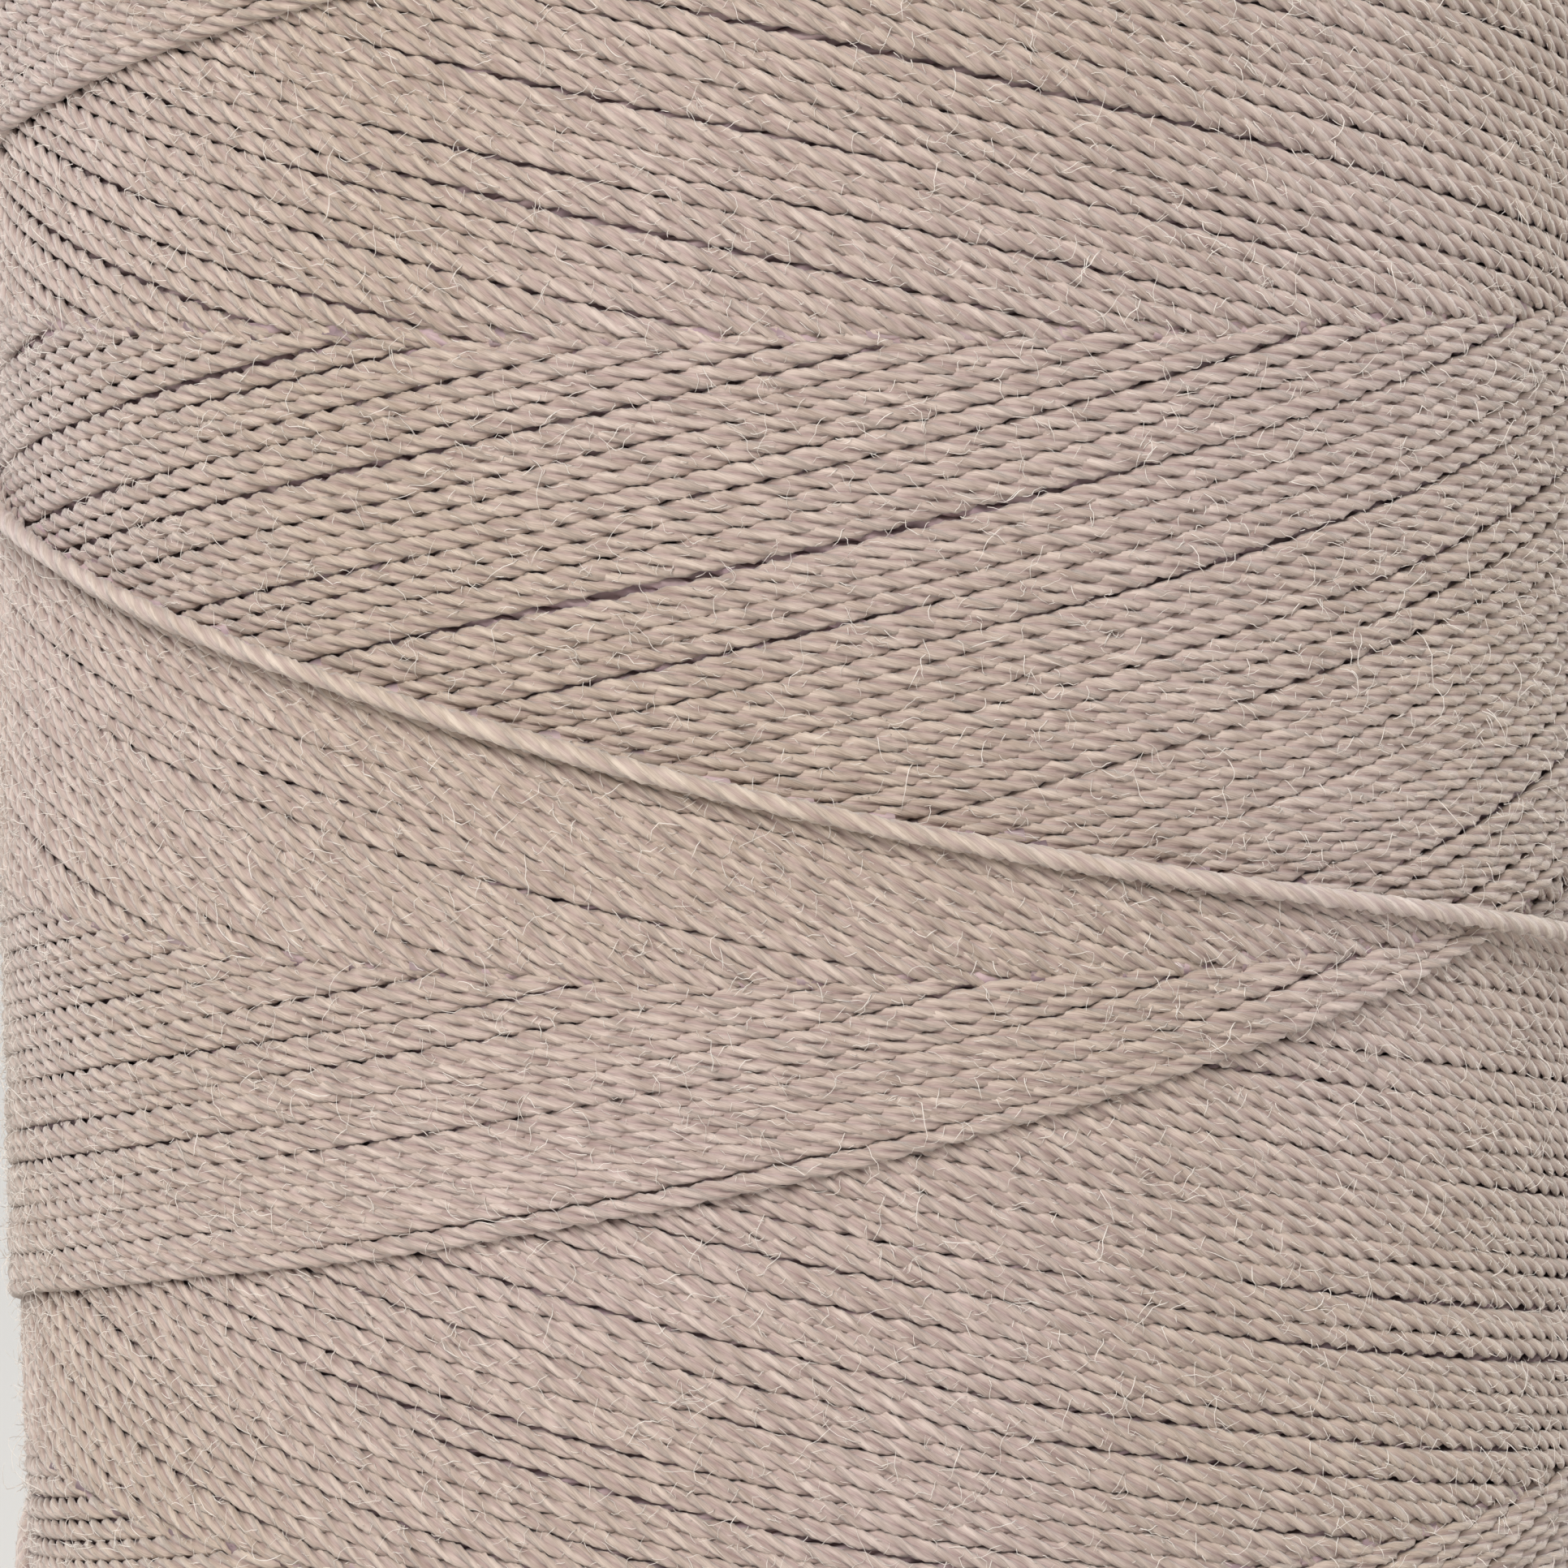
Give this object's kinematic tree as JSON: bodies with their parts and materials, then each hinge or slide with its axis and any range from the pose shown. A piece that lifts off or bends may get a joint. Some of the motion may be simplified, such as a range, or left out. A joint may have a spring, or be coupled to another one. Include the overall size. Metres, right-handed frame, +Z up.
{
  "type": "thread spool",
  "caption": "Small cross-wound spool of plied stitching thread on a flanged plastic core, with a snap cap that grips the running end.",
  "frame": {"origin": "centre of the foot's underside, on the spool's axis", "axes": "+Z up along the spool's axis, towards the snap cap; -Y faces the viewer, +X to the right"},
  "size_m": [0.036, 0.036, 0.053],
  "materials": {
    "spool_plastic": "moulded, off-white, fine satin",
    "cap_plastic": "moulded, off-white, slightly polished by handling",
    "label_paper": "uncoated kraft, blank",
    "thread": "matte plied spun thread, taupe, with fine fibre fuzz"
  },
  "bodies": {
    "spool": {"core_tube": "spool_plastic", "bottom_flange": "spool_plastic", "top_flange": "spool_plastic", "bottom_label": "label_paper", "thread_winding": "thread", "running_end": "thread"},
    "lock_cap": {"thread_lock_cap": "cap_plastic", "top_label": "label_paper"}
  },
  "joints": [
    {"name": "cap_lift", "type": "slide", "parent": "spool", "child": "lock_cap", "axis": [0, 0, 1], "range_m": [0, 0.0015]}
  ]
}
